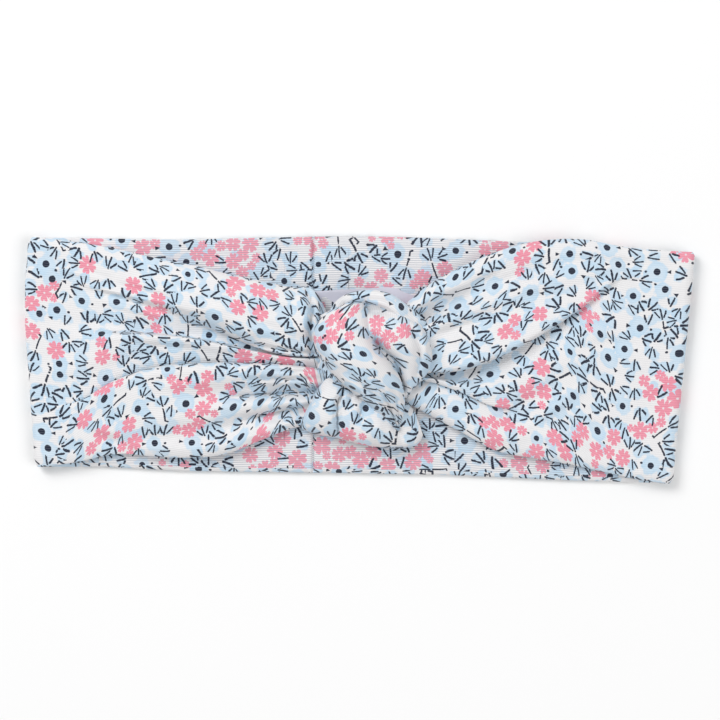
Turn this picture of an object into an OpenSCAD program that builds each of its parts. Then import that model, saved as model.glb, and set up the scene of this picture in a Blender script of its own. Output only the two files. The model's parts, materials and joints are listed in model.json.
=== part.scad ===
// Knotted jersey headband, lying folded flat with the knot on top.
// A printed two-ply tube of cloth is tied in one overhand knot at the front and
// closed by one seam at the back. +X runs along the band, +Y across it towards
// the upper edge, +Z up from the surface that it lies on.

/* [Band] */
// Length of the headband when folded flat
flat_len = 190; // [150:1:230]
// Width of the two-ply band across its back
band_w = 67; // [50:1:80]
// Thickness of one ply of jersey
ply_t = 0.9; // [0.6:0.1:1.2]
// Free gap between the back and the front when folded flat
loop_gap = 0.8; // [0.6:0.1:1.5]
// How far left of the middle the back seam lies
seam_offset = 13.3; // [11:0.1:16]

/* [Knot] */
// Height of the knot above the surface
knot_h = 19.6; // [17:0.1:24]
// Height that the gathered folds reach beside the knot
fold_h = 6.2; // [4:0.1:7]

/* [Label] */
// Length of the care label
label_l = 34; // [25:1:40]
// Width of the care label
label_w = 12; // [8:1:14]
// Thickness of the care label
label_t = 0.25; // [0.2:0.05:0.4]

/* [Hidden] */

// Stack of the folded band, from the surface up
band_t = 2 * ply_t;
fold_r = band_t + loop_gap / 2;
front_z = band_t + loop_gap;

// Hinge lines, all along Y. They make a parallelogram, so the loop opens evenly.
fold_x = flat_len / 2 - fold_r;
seam_x = -seam_offset;
knot_x = seam_offset;

clearance = 0.3;
left_end_x = -14;
stitch_r = 0.22;
stitch_len = 2.2;
stitch_pitch = 3;
stitch_inset = 1.4;
allowance_w = 6;
allowance_t = 0.6;
label_x = seam_x + 0.5;
label_tilt = 3.4;
tube_sides = 16;

jersey = [0.86, 0.90, 0.95];
jersey_shade = [0.74, 0.81, 0.89];
jersey_pink = [0.95, 0.72, 0.77];
satin = [0.83, 0.83, 0.90];
thread = [0.97, 0.97, 0.97];

// Edges of each panel: share of fold_x along the band, share of band_w across it
back_top = [[-1, 0.52], [-0.55, 0.51], [-0.18, 0.523], [0, 0.525], [0.22, 0.518], [0.55, 0.497],
    [1, 0.455]];
back_bottom = [[-1, -0.452], [-0.8, -0.452], [-0.55, -0.47], [-0.14, -0.478], [0.25, -0.487],
    [0.6, -0.507], [1, -0.525]];
front_left_top = [[-1, 0.51], [-0.8, 0.476], [-0.61, 0.434], [-0.43, 0.375], [-0.27, 0.328], [-0.14, 0.28]];
front_left_bottom = [[-1, -0.45], [-0.88, -0.43], [-0.72, -0.385], [-0.57, -0.415], [-0.44, -0.405],
    [-0.28, -0.33], [-0.14, -0.25]];
front_right_top = [[0.14, 0.245], [0.21, 0.315], [0.29, 0.375], [0.46, 0.465], [0.61, 0.497],
    [0.74, 0.505], [0.86, 0.467], [1, 0.457]];
front_right_bottom = [[0.14, -0.17], [0.22, -0.23], [0.31, -0.31], [0.45, -0.39], [0.59, -0.44],
    [0.8, -0.475], [1, -0.5]];
flap_top = [[-0.18, -0.27], [-0.1, -0.12], [0, -0.09], [0.08, -0.13], [0.13, -0.215], [0.195, -0.29]];
flap_bottom = [[-0.18, -0.285], [-0.13, -0.315], [-0.05, -0.33], [0.03, -0.355], [0.12, -0.37],
    [0.17, -0.345], [0.195, -0.31]];

// Gathered folds: place across the panel from 0 at its lower edge, half width, share of fold_h
left_folds = [[0.13, 0.1, 0.75], [0.34, 0.1, 0.85], [0.76, 0.24, 1]];
right_folds = [[0.14, 0.12, 0.55], [0.5, 0.2, 0.8], [0.86, 0.14, 0.6]];

// Spans of the knot, ring by ring: x, y, share of knot_h, half width, half height
// as a share of knot_h, and the heading in degrees
core_rings = [
    [-16, 2, 0.3, 9, 0.1, 0], [-9, 2, 0.33, 11, 0.18, 0], [0, 2.5, 0.34, 13, 0.2, 0],
    [8, 2.5, 0.33, 12, 0.18, 0], [12.8, 2.5, 0.31, 8, 0.11, 0]
];
loop_rings = [
    [-3.9, 16.6, 0.38, 3.6, 0.09, -100], [-5, 13.6, 0.56, 7, 0.16, -95],
    [-4.2, 7.5, 0.74, 9, 0.2, -80], [-1.6, 1.2, 0.8, 9, 0.2, -68],
    [2.4, -5.2, 0.74, 8, 0.2, -58], [6.6, -11, 0.57, 6.2, 0.17, -54],
    [9.8, -15.6, 0.41, 4.2, 0.13, -54], [12, -18.8, 0.28, 2.4, 0.09, -54]
];
lobe_rings = [
    [5.6, 15.4, 0.44, 2.6, 0.08, -30], [9, 12.6, 0.56, 5, 0.13, -50],
    [12.4, 7, 0.64, 6.4, 0.16, -72], [13.6, 0.6, 0.62, 6.2, 0.15, -90],
    [13, -5, 0.54, 4.8, 0.11, -105], [11.4, -9.2, 0.44, 2.4, 0.06, -120]
];
strip_rings = [
    [-7, 16, 0.36, 1.4, 0.06, 30], [-2.8, 17.8, 0.46, 2.2, 0.09, 10],
    [3.5, 18.4, 0.51, 2.8, 0.1, -2], [9.4, 17, 0.49, 3, 0.09, -18], [13, 15.2, 0.44, 2.2, 0.06, -30]
];

function edge(table, x) = band_w * lookup(x / fold_x, table);
function ramp(a, b, x) = let (t = min(1, max(0, (x - a) / (b - a)))) t * t * (3 - 2 * t);
function bell(x, centre, half) = exp(-pow((x - centre) / half, 2));
function gathered(folds, across) = max([for (f = folds) f[2] * bell(across, f[0], f[1])]);

// Closed sheet of cloth between two edge tables, with a flat underside at z_low
// and its top at rise(x, across) above z_base.
module cloth(x0, x1, top, bottom, z_low, z_base, rise, nx = 14, ny = 16) {
    xs = [for (i = [0:nx]) x0 + (x1 - x0) * i / nx];
    grid = [for (x = xs) for (j = [0:ny])
        let (a = j / ny, lo = edge(bottom, x), hi = edge(top, x)) [x, lo + (hi - lo) * a, a]];
    n = len(grid);
    points = concat(
        [for (g = grid) [g[0], g[1], z_base + rise(g[0], g[2])]],
        [for (g = grid) [g[0], g[1], z_low]]
    );
    function at(i, j, side) = side * n + i * (ny + 1) + j;
    faces = concat(
        [for (i = [0:nx - 1]) for (j = [0:ny - 1]) each
            [[at(i, j, 0), at(i, j + 1, 0), at(i + 1, j + 1, 0)],
                [at(i, j, 0), at(i + 1, j + 1, 0), at(i + 1, j, 0)]]],
        [for (i = [0:nx - 1]) for (j = [0:ny - 1]) each
            [[at(i, j, 1), at(i + 1, j + 1, 1), at(i, j + 1, 1)],
                [at(i, j, 1), at(i + 1, j, 1), at(i + 1, j + 1, 1)]]],
        [for (i = [0:nx - 1]) each
            [[at(i, 0, 0), at(i + 1, 0, 0), at(i + 1, 0, 1)], [at(i, 0, 0), at(i + 1, 0, 1), at(i, 0, 1)]]],
        [for (i = [0:nx - 1]) each
            [[at(i, ny, 0), at(i + 1, ny, 1), at(i + 1, ny, 0)],
                [at(i, ny, 0), at(i, ny, 1), at(i + 1, ny, 1)]]],
        [for (j = [0:ny - 1]) each
            [[at(0, j, 0), at(0, j, 1), at(0, j + 1, 1)], [at(0, j, 0), at(0, j + 1, 1), at(0, j + 1, 0)]]],
        [for (j = [0:ny - 1]) each
            [[at(nx, j, 0), at(nx, j + 1, 1), at(nx, j, 1)],
                [at(nx, j, 0), at(nx, j + 1, 0), at(nx, j + 1, 1)]]]
    );
    polyhedron(points, faces);
}

// Flat ply of one side of the back, as an exact plate
module ply(x0, x1, top, bottom, z0) {
    inner = [for (t = top) t[0] * fold_x];
    outer = [for (t = bottom) t[0] * fold_x];
    upper = [for (x = concat(x0, [for (x = inner) if (x > x0 && x < x1) x], x1)) [x, edge(top, x)]];
    lower = [for (x = concat(x0, [for (x = outer) if (x > x0 && x < x1) x], x1)) [x, edge(bottom, x)]];
    count = len(lower);
    translate([0, 0, z0])
        linear_extrude(ply_t)
            polygon(concat(upper, [for (i = [1:count]) lower[count - i]]));
}

// Puffed tube of cloth through a list of rings
module tube(rings) {
    count = len(rings);
    points = [for (r = rings) for (k = [0:tube_sides - 1])
        let (a = 360 * k / tube_sides, side = r[3] * cos(a), up = r[2] + r[4] * sin(a))
            [r[0] - sin(r[5]) * side, r[1] + cos(r[5]) * side, up * knot_h]];
    wall = [for (i = [0:count - 2]) for (k = [0:tube_sides - 1])
        let (n = (k + 1) % tube_sides, a = i * tube_sides, b = a + tube_sides)
            each [[a + k, a + n, b + n], [a + k, b + n, b + k]]];
    start = [for (k = [0:tube_sides - 1]) tube_sides - 1 - k];
    end = [for (k = [0:tube_sides - 1]) (count - 1) * tube_sides + k];
    polyhedron(points, concat(wall, [start, end]));
}

// Row of straight stitches that stays inset from an edge table
module edge_stitches(x0, x1, table, z) {
    for (x = [x0:stitch_pitch:x1 - stitch_len]) {
        a = [x, edge(table, x) + stitch_inset];
        b = [x + stitch_len, edge(table, x + stitch_len) + stitch_inset];
        translate([a[0], a[1], z])
            rotate([0, 90, atan2(b[1] - a[1], b[0] - a[0])])
                cylinder(r = stitch_r, h = stitch_len, $fn = 16);
    }
}

// Quarter turn of the band below a fold line, on the side that side points to
module fold_turn(side) {
    top = edge(back_top, side * fold_x);
    bottom = edge(back_bottom, side * fold_x);
    translate([side * fold_x, top, fold_r])
        rotate([90, 0, 0])
            intersection() {
                difference() {
                    cylinder(r = fold_r, h = top - bottom, $fn = 64);
                    translate([0, 0, -1])
                        cylinder(r = fold_r - band_t, h = top - bottom + 2, $fn = 32);
                }
                translate([side > 0 ? 0 : -2 * fold_r, -2 * fold_r, -1])
                    cube([2 * fold_r, 2 * fold_r, top - bottom + 2]);
            }
}

// Turned-in end of the cloth, which lies between the plies beside the back seam
module allowance(side) {
    mid_x = seam_x + side * (clearance / 2 + allowance_w / 2);
    top = edge(back_top, mid_x) - 1;
    bottom = edge(back_bottom, mid_x) + 1;
    translate([mid_x - allowance_w / 2, bottom, ply_t - allowance_t / 2])
        cube([allowance_w, top - bottom, allowance_t]);
}

module back_ply(x0, x1, z0, side) {
    difference() {
        ply(x0, x1, back_top, back_bottom, z0);
        allowance(side);
    }
}

module back_right_outer_ply() {
    color(jersey) back_ply(seam_x + clearance / 2, fold_x, 0, 1);
}

module back_right_inner_ply() {
    color(jersey_shade) back_ply(seam_x + clearance / 2, fold_x, ply_t, 1);
}

module back_right_seam_allowance() {
    color(jersey) allowance(1);
}

module right_fold_turn() {
    color(jersey) fold_turn(1);
}

module back_left_outer_ply() {
    color(jersey) back_ply(-fold_x, seam_x - clearance / 2, 0, -1);
}

module back_left_inner_ply() {
    color(jersey_shade) back_ply(-fold_x, seam_x - clearance / 2, ply_t, -1);
}

module back_left_seam_allowance() {
    color(jersey) allowance(-1);
}

module left_fold_turn() {
    color(jersey) fold_turn(-1);
}

// Seam stitches that hold the two turned-in ends together
module back_seam_thread() {
    x = seam_x + 2 * clearance;
    top = edge(back_top, x) - 2;
    bottom = edge(back_bottom, x) + 2;
    color(thread)
        for (y = [bottom:stitch_pitch:top - stitch_len])
            translate([x, y, ply_t])
                rotate([-90, 0, 0])
                    cylinder(r = stitch_r, h = stitch_len, $fn = 16);
}

module back_right_edge_thread() {
    color(thread) edge_stitches(seam_x + allowance_w + 2, fold_x - 3, back_bottom, ply_t);
}

module back_left_edge_thread() {
    color(thread) edge_stitches(3 - fold_x, seam_x - allowance_w - 2, back_bottom, ply_t);
}

module front_left_edge_thread() {
    color(thread) edge_stitches(5 - fold_x, -40, front_left_bottom, front_z + ply_t);
}

module front_right_edge_thread() {
    color(thread) edge_stitches(40, fold_x - 5, front_right_bottom, front_z + ply_t);
}

// Label frame: its sewn end lies beside the back seam, below the upper edge
module label_frame() {
    translate([label_x, band_w * 0.29, band_t])
        rotate([0, 0, label_tilt])
            children();
}

module care_label() {
    color(satin)
        label_frame()
            translate([0, -label_w, 0])
                cube([label_l, label_w, label_t]);
}

// Stitches through the label's sewn end and the ply below it
module label_tack_thread() {
    color(thread)
        label_frame()
            for (y = [-label_w + 1.5:stitch_pitch:-stitch_len])
                translate([1.2, y, -stitch_r])
                    rotate([-90, 0, 0])
                        cylinder(r = stitch_r, h = stitch_len, $fn = 16);
}

module front_left_inner_ply() {
    color(jersey_shade)
        ply(clearance - fold_x, left_end_x, front_left_top, front_left_bottom, front_z);
}

module front_left_outer_ply() {
    rise = function(x, a) ply_t + fold_h * ramp(-fold_x, left_end_x, x) * gathered(left_folds, a);
    z = front_z + ply_t;
    color(jersey)
        cloth(clearance - fold_x, left_end_x, front_left_top, front_left_bottom, z, z, rise);
}

module front_right_inner_ply() {
    color(jersey_shade)
        ply(knot_x + clearance, fold_x - clearance, front_right_top, front_right_bottom, front_z);
}

module front_right_outer_ply() {
    rise = function(x, a) ply_t + fold_h * 0.5 * (1 - ramp(knot_x, fold_x, x)) * gathered(right_folds, a);
    z = front_z + ply_t;
    color(jersey)
        cloth(knot_x + clearance, fold_x - clearance, front_right_top, front_right_bottom, z, z, rise);
}

// The two passes of the band that cross inside the knot
module knot_core() {
    color(jersey_shade) tube(core_rings);
}

module knot_front_loop() {
    color(jersey_pink) tube(loop_rings);
}

module knot_right_lobe() {
    color(jersey_pink) tube(lobe_rings);
}

module knot_top_strip() {
    color(jersey) tube(strip_rings);
}

module knot_lower_flap() {
    rise = function(x, a) 1.2 + 5 * a * ramp(-18, 0, x) * (1 - 0.5 * ramp(4, 18, x)) + 0.8 * sin(a * 180);
    color(jersey)
        cloth(-0.18 * fold_x, 0.195 * fold_x, flap_top, flap_bottom, front_z + 0.1, front_z + 1.6,
            rise, 16, 8);
}

back_right_outer_ply();
back_right_inner_ply();
back_right_seam_allowance();
right_fold_turn();
back_seam_thread();
back_right_edge_thread();
label_tack_thread();
care_label();
back_left_outer_ply();
back_left_inner_ply();
back_left_seam_allowance();
left_fold_turn();
back_left_edge_thread();
front_left_outer_ply();
front_left_inner_ply();
front_left_edge_thread();
knot_core();
knot_front_loop();
knot_right_lobe();
knot_top_strip();
knot_lower_flap();
front_right_outer_ply();
front_right_inner_ply();
front_right_edge_thread();
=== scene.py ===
"""Knotted jersey headband, lying folded flat: the looks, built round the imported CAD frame.

Lengths inside the script are millimetres in the CAD frame, and become metres when a mesh is made.
Every cloth mesh carries its own fabric coordinates: s runs along the band, t across it.
"""
import json
import math

import bpy
import numpy as np
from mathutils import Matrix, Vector, noise


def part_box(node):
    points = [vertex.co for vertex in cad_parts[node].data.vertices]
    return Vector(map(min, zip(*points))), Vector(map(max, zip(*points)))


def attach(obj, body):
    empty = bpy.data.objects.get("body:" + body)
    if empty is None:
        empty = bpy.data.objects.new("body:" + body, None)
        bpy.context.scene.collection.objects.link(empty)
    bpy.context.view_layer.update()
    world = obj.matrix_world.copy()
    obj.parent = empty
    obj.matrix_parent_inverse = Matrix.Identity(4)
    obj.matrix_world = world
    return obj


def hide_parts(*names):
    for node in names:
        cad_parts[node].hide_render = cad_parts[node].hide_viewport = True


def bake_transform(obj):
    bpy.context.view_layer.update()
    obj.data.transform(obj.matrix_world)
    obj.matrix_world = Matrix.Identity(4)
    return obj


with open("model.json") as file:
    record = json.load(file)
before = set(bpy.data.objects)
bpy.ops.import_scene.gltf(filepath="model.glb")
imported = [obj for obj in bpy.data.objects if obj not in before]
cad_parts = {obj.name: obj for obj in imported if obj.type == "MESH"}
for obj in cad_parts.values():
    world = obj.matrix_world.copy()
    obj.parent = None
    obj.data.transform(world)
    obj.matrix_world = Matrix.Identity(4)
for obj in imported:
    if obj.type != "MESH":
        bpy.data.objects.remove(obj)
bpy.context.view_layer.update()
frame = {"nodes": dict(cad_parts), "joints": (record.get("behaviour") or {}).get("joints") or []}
scene = bpy.context.scene

MM = 0.001
joint_pos = {j["name"]: Vector(j["pos_m"]) / MM for j in frame["joints"]}
FOLD_X = joint_pos["right_fold_hinge"].x
FOLD_R = joint_pos["right_fold_hinge"].z
SEAM_X = joint_pos["back_seam_hinge"].x
BAND_T = joint_pos["back_seam_hinge"].z
PLY = BAND_T / 2
FRONT_MID = 2 * FOLD_R - PLY  # height of the middle of the front layer where it is flat
SEAM_LEFT = SEAM_X - 8  # the cloth round the back seam is a piece of its own
SEAM_RIGHT = SEAM_X + 10
CELL = 0.7  # size of one mesh face
ROUND = 140  # once round the band, on the cloth
BEND = 18  # a length along the band: the painted shade on the back fades out over twice this before the fold
UNDERSIDE = 2.75  # height of the front's lower ply
LOWEST = 2.05  # the front's folds don't sink below this
RIB = 0.62  # from one rib of the jersey to the next
STITCH = 0.46  # from one knitted stitch to the next


# ---- surfaces

def hermite(u, a, b, slope_a, slope_b):
    """The smooth curve from a to b that has those slopes at its ends, at u from 0 to 1."""
    return ((2 * u**3 - 3 * u**2 + 1) * a + (u**3 - 2 * u**2 + u) * slope_a
            + (3 * u**2 - 2 * u**3) * b + (u**3 - u**2) * slope_b)


def smooth_rows(stations, table, xs):
    """A smooth curve through each row of the table, at each of xs. Returns xs by rows."""
    st = np.asarray(stations, float)
    tab = np.asarray(table, float)
    slope = np.gradient(tab, st, axis=1)
    i = np.clip(np.searchsorted(st, xs) - 1, 0, len(st) - 2)
    h = st[i + 1] - st[i]
    return hermite((xs - st[i]) / h, tab[:, i], tab[:, i + 1], slope[:, i] * h, slope[:, i + 1] * h).T


def close_rows(rows):
    """Rounds off rows (n by k by 3, closed over k) into a tube whose faces aren't much wider than CELL.
    Returns the tube and how many samples follow each row."""
    after = np.roll(rows, -1, axis=1)
    width = np.linalg.norm(after - rows, axis=2)
    counts = np.maximum(2, np.ceil(width.max(axis=0) / CELL).astype(int))
    gap = width[..., None] + 0.05
    before = np.roll(gap, 1, axis=1)
    step = (after - rows) / gap
    slope = (np.roll(step, 1, axis=1) * gap + step * before) / (gap + before)
    near = 2.5 * np.minimum(gap, before)
    out = []
    for j, count in enumerate(counts):
        k = (j + 1) % len(counts)
        slope_j = slope[:, j] * np.minimum(gap[:, j], near[:, j])
        slope_k = slope[:, k] * np.minimum(gap[:, j], near[:, k])
        for u in np.arange(count) / count:
            out.append(hermite(u, rows[:, j], rows[:, k], slope_j, slope_k))
    return np.stack(out, axis=1), counts


def station(x, y, z):
    """The rows' points at one place along the band."""
    return np.stack(np.broadcast_arrays(x, y, z), axis=1)


def ripple(points, along, across, seed):
    """Soft noise in -1..1 that changes slowly along the band and faster across it."""
    return np.array([noise.noise(Vector((p[0] * along, p[1] * across, seed))) for p in points])


def ramp(a, b, x):
    u = np.clip((x - a) / (b - a), 0, 1)
    return u * u * (3 - 2 * u)


def crease_depth(points, creases):
    """Height that soft creases and ridges add. Each is (x0, y0, x1, y1, half width, height)."""
    total = np.zeros(len(points))
    for x0, y0, x1, y1, half, height in creases:
        a, d = np.array([x0, y0]), np.array([x1 - x0, y1 - y0])
        q = points[:, :2] - a
        u = np.clip((q @ d) / (d @ d), 0, 1)
        away = np.linalg.norm(q - u[:, None] * d, axis=1)
        total += height * np.exp(-(away / half) ** 2) * np.sin(np.pi * (0.08 + 0.84 * u))
    return total


# Edges of the back of the band: x, y
BACK_TOP = [(-93, 34.8), (-51, 34.2), (-17, 35), (0, 35.2), (20, 34.7), (51, 33.3), (93, 30.6)]
BACK_BOTTOM = [(-93, -30.3), (-74, -30.3), (-51, -31.5), (-13, -32), (23, -32.6), (56, -34), (93, -35)]

# Front panels. Each row is one line that runs along the band, from the upper edge to the
# lower edge; a row that turns back under the row before it makes a fold with a real overhang.
LEFT_X = [-93, -83, -70, -58, -48, -38, -29, -20, -12, -8.5, -4]
LEFT_ROWS = [
    # y of the row at each x, then its z at each x
    ([34.8, 33.6, 31.6, 28.9, 27, 24.5, 22.6, 20.6, 18.6, 12, 8],
     [3.5, 3.5, 3.6, 4, 4.4, 4.8, 5.2, 5.4, 5.2, 4.4, 4]),
    ([33.6, 32.4, 30.4, 27.6, 25.6, 23.2, 21.2, 19.2, 17, 11, 7],
     [4.3, 4.3, 4.6, 5.4, 6.4, 7.4, 8, 8.2, 7.2, 5.4, 4.6]),
    ([28, 27.6, 25.6, 22.8, 20.5, 17.5, 14.5, 12.5, 10.8, 8, 5],
     [4.4, 4.5, 5.2, 6.8, 8.4, 9.8, 10.8, 11.2, 10, 6.6, 5]),
    ([23, 23.8, 21.2, 18.6, 15.2, 12.2, 8.4, 4.8, 3.8, 3.6, 3],
     [4.4, 4.4, 5.4, 7.4, 9.6, 11, 11.2, 10.2, 8.8, 6, 5]),
    ([20.5, 21, 18.4, 16, 11.4, 7.2, 3.4, 1.2, 1, 1.2, 1.2],
     [4.4, 4.3, 5, 6.2, 6.4, 6, 6.4, 7.4, 7.2, 5.4, 4.6]),
    ([16, 16, 13.8, 12, 9.6, 7, 4.8, 4.2, 4, 3.4, 2.6],
     [4.4, 4.4, 4.4, 4.4, 4, 3.4, 3.4, 3.7, 3.8, 3.8, 3.8]),
    ([11, 10, 8.6, 7.9, 7, 5.2, 2.9, 1.2, 1.2, 1.2, 1.2],
     [4.4, 4.2, 3.6, 3.1, 2.9, 3, 3.8, 5, 5, 4.6, 4.2]),
    ([7, 7.2, 7.2, 6.9, 5.8, 3.8, 2, 0.6, 0.2, 0, 0],
     [4.4, 4.6, 5.9, 7, 7.4, 7.3, 7.1, 6.9, 6.6, 5.6, 4.6]),
    ([-4, -8, -2, 1.2, 2, 1, 0, -0.7, -1.3, -1.5, -1.5],
     [4.4, 4.6, 4.8, 5, 5.4, 5.8, 6.1, 6.1, 5.9, 5.2, 4.4]),
    ([-9, -13.2, -9.4, -6.4, -5.2, -4.6, -4.6, -4.9, -5.3, -5.6, -5.6],
     [4.4, 4.1, 3.6, 3.4, 3.3, 3.3, 3.4, 3.6, 3.7, 3.8, 3.8]),
    ([-12, -12.2, -5.8, -2, -1, -0.7, -0.9, -1.4, -2.3, -2.8, -3.2],
     [4.4, 4.3, 4.9, 5.9, 6.6, 7, 7.4, 7.5, 7.3, 6, 5]),
    ([-13.6, -12.6, -6.5, -2.7, -1.7, -1.4, -1.6, -2.2, -3.2, -3.6, -4],
     [4.4, 4.9, 6.2, 7.5, 8.3, 8.7, 9, 9.2, 8.9, 6.8, 5.4]),
    ([-16.4, -15.6, -10.4, -6.8, -5.4, -4.9, -5, -5.4, -6, -6, -6],
     [4.4, 5, 6.4, 7.7, 8.4, 8.6, 8.5, 8.3, 7.9, 6.4, 5]),
    ([-19.4, -19.4, -15.6, -12.6, -10.8, -9.8, -9.2, -9.2, -8.9, -8.4, -8],
     [4.4, 4.8, 6, 7, 7.2, 6.2, 4.8, 4.4, 4.4, 4.4, 4.2]),
    ([-22.2, -22.2, -19.6, -17.2, -15.6, -14.2, -12.8, -12, -11.4, -10.4, -9.6],
     [4.4, 4.7, 5.8, 6.8, 7.3, 7.6, 7.6, 7.3, 6.8, 5.6, 4.8]),
    ([-25, -24.8, -23, -21.8, -20.9, -19.3, -17, -15.4, -14.4, -12.6, -11.4],
     [4.4, 4.4, 5, 5.4, 5.2, 4.6, 4, 3.8, 3.8, 3.8, 3.8]),
    ([-28, -27.2, -25, -25.4, -25.3, -24.2, -20.9, -17.8, -16, -13.8, -12.4],
     [4.4, 4.3, 4.7, 5.5, 5.9, 6.1, 6, 5.6, 5.2, 4.4, 4]),
    ([-30.3, -29, -26.6, -27.4, -27.6, -26.6, -23.1, -19.6, -17.4, -15, -13.4],
     [3.5, 3.5, 3.7, 4.1, 4.4, 4.4, 4.2, 4, 3.9, 3.7, 3.5]),
    ([-29.2, -28, -25.6, -26.4, -26.6, -25.6, -22, -18.4, -16.4, -14, -12.4],
     [UNDERSIDE] * 11),
    ([33.6, 32.4, 30.4, 27.6, 25.6, 23.2, 21.2, 19.2, 17, 11, 7],
     [UNDERSIDE] * 11),
]
LEFT_CREASES = [
    (-82, 26, -52, 17, 1, -0.9), (-80, 22, -46, 13.4, 0.9, 0.8), (-88, 26.5, -58, 19.6, 0.9, 0.7),
    (-72, 18.4, -50, 12, 0.8, -0.8), (-78, 20, -56, 14.6, 0.8, -0.6), (-70, 15.6, -56, 12.4, 0.7, 0.6),
    (-70, 5, -44, 3, 0.8, -0.35), (-81, -19, -64, -26, 1.7, -1), (-84, -16, -70, -22, 2.6, 0.6),
    (-14.6, 20, -13.2, 13, 0.8, -3), (-13.2, 15, -14.4, 7, 0.8, -3), (-14.4, 9, -13.2, 1, 0.8, -2.4),
    (-30, 18, -16, 12, 1.4, -0.9), (-34, 12, -15, 6, 1.4, -0.5), (-46, -12.6, -14, -7.6, 0.8, -0.5),
    (-50, -16, -22, -12.6, 0.9, -0.45), (-52, -24.4, -26, -19.4, 0.9, -0.5),
    (-38, -10.4, -12.2, -8.9, 0.5, -2.2), (-34, -17, -12.4, -12.2, 0.5, -1.9),
    (-32, 4.4, -12.4, 1.6, 0.45, -1.7), (-32, -5.4, -12.4, -5.3, 0.45, -1.9),
    (-26, -3, -12.4, -3.4, 0.45, -1.3), (-89, -4, -66, 2, 2.4, 0.35), (-60, -8, -36, -5, 1.2, 0.35),
]

RIGHT_X = [8, 13, 19, 28, 38, 50, 62, 75, 86, 93]
RIGHT_ROWS = [
    ([12, 16, 21, 26, 30.4, 33.6, 34.2, 32, 31, 30.6],
     [4.4, 5, 5.4, 5, 4.6, 4.2, 4.2, 3.6, 3.5, 3.5]),
    ([11, 15, 19.8, 24.8, 29.2, 32.4, 33, 30.8, 29.8, 29.4],
     [6, 7.4, 7.6, 7, 6.2, 5.4, 5.2, 4.5, 4.3, 4.3]),
    ([10.5, 13.4, 17.4, 21.6, 25.8, 29.2, 30.8, 29.4, 28, 27.4],
     [6.5, 8.6, 8.8, 8, 7.1, 6.2, 5.9, 4.9, 4.4, 4.4]),
    ([8.6, 10.6, 12.6, 16.6, 21.2, 25.2, 27.6, 27.6, 26, 25],
     [4.2, 4, 4, 4.6, 5.4, 5.6, 5.5, 4.7, 4.4, 4.4]),
    ([6.4, 7.6, 9.4, 13, 17.4, 21.4, 24.2, 26.2, 24.4, 23],
     [6.4, 8, 8.4, 7.8, 7.2, 6.8, 6.2, 4.9, 4.4, 4.4]),
    ([2.4, 3, 4, 9.2, 13.6, 17.4, 20.6, 25, 23, 21.4],
     [5.6, 6.6, 6.8, 6.4, 6.2, 6.2, 5.9, 4.9, 4.4, 4.4]),
    ([-0.6, -0.4, 0.2, 2.8, 6.8, 11.6, 17.2, 24.2, 22, 20.2],
     [6, 7.6, 8, 7.6, 7.3, 7, 6.4, 5, 4.5, 4.4]),
    ([-3.2, -3.4, -3.3, -2.4, 1, 7, 14.4, 23.4, 21.2, 19.2],
     [6, 7.4, 7.8, 8.2, 8, 7.4, 6.4, 5, 4.5, 4.4]),
    ([-3.4, -3.8, -3.7, -3.1, 0.2, 6.3, 13.8, 22.8, 20.6, 18.4],
     [4.8, 5.6, 5.8, 6, 6, 5.8, 5.4, 4.6, 4.4, 4.4]),
    ([-2.2, -2, -0.8, 0.4, 4, 9.2, 15, 21.4, 19.6, 17],
     [3.7, 3.4, 3.3, 3.3, 3.3, 3.5, 4, 4.4, 4.4, 4.4]),
    ([-4.2, -4.4, -4.5, -5, -2.6, 3.4, 11.4, 18.8, 17.2, 14.8],
     [3.6, 3.6, 3.6, 3.8, 4, 4.2, 4.5, 4.5, 4.4, 4.4]),
    ([-4.9, -5.1, -5.3, -7.2, -8.6, -6, 0, 7, 6, 5],
     [5.4, 6.4, 6.8, 7, 6.8, 6.2, 5.6, 4.8, 4.5, 4.4]),
    ([-5.6, -5.9, -6.1, -9, -13.2, -13, -10, -8, -8, -9],
     [4.8, 5.4, 5.8, 5.9, 5.4, 5.3, 5, 4.7, 4.5, 4.4]),
    ([-4.6, -4.6, -3.8, -6.6, -12.4, -17.4, -17.4, -17, -17, -18],
     [3.4, 3.4, 3.3, 3.4, 4, 5, 5.1, 4.7, 4.5, 4.4]),
    ([-8, -8.6, -9.6, -13.4, -18.6, -22.4, -23.4, -24.4, -26, -27],
     [5, 5.8, 6.4, 6.8, 6.6, 6, 5.3, 4.8, 4.5, 4.4]),
    ([-10, -11.2, -14.2, -18.8, -24.2, -26.6, -28.6, -31, -33, -33.8],
     [4.6, 5.2, 5.6, 5.8, 5.6, 5.2, 4.8, 4.4, 4.3, 4.3]),
    ([-11, -12.2, -15.3, -20.1, -25.5, -27.9, -29.8, -32.1, -34.1, -35],
     [3.8, 4, 4.2, 4.4, 4.3, 4, 3.7, 3.5, 3.5, 3.5]),
    ([-10, -11.2, -14.2, -19, -24.4, -26.8, -28.7, -31, -33, -33.8],
     [UNDERSIDE] * 10),
    ([11, 15, 19.8, 24.8, 29.2, 32.4, 33, 30.8, 29.8, 29.4],
     [UNDERSIDE] * 10),
]
RIGHT_CREASES = [
    (44, -20.5, 66, -6.5, 1.8, 0.9), (40, -16, 60, -4, 2.2, -0.7), (20, 14.6, 44, 27.4, 1, -0.6),
    (18, 10.2, 46, 20.4, 1, -0.7), (18, 6.4, 40, 12.6, 0.8, -0.5), (22, 2.4, 44, 8.4, 1.1, -0.5),
    (58, 3, 74, 9, 2.4, 0.45), (64, 4.6, 82, 4, 1.6, -0.45), (62, 27, 84, 17, 2, 0.4),
    (28, -6, 44, -9.6, 0.9, -0.4), (24, -13.6, 44, -21.4, 0.9, -0.5), (70, -14, 88, -6, 3, 0.3),
    (66, -20, 88, -24, 2.4, 0.3), (74, 30, 80, 20, 1.6, -0.5),
]


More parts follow.
